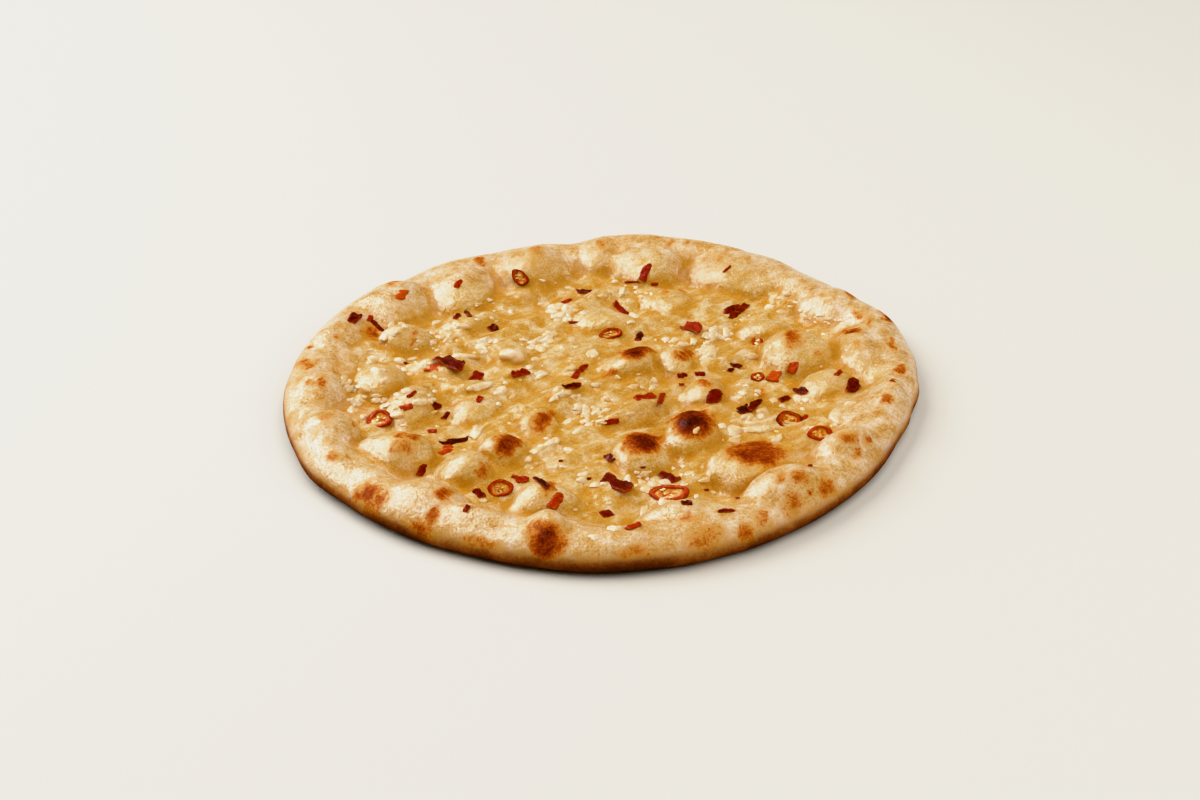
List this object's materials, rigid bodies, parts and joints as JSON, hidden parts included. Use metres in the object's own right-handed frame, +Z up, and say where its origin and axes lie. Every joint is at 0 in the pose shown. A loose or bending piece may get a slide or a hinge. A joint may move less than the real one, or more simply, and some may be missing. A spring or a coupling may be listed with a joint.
{
  "type": "naan bread",
  "caption": "Round blistered flatbread with a puffed rim, topped with garlic bits, chilli rings and chilli flakes, resting flat.",
  "frame": {"origin": "under the middle of the bread, on the surface that it rests on", "axes": "+Z up through the bread, +Y away from the side nearest the viewer, +X to the viewer's right"},
  "size_m": [0.2486, 0.2439, 0.0197],
  "materials": {
    "crust": "baked wheat crust, pale gold with browned and charred blisters, lightly oiled inside the rim",
    "garlic": "softened garlic bits, cream-coloured, oily and slightly translucent",
    "chilli": "dried and baked red chilli, dark to bright red, oily"
  },
  "bodies": {
    "root": {"naan": "crust"}
  },
  "joints": []
}
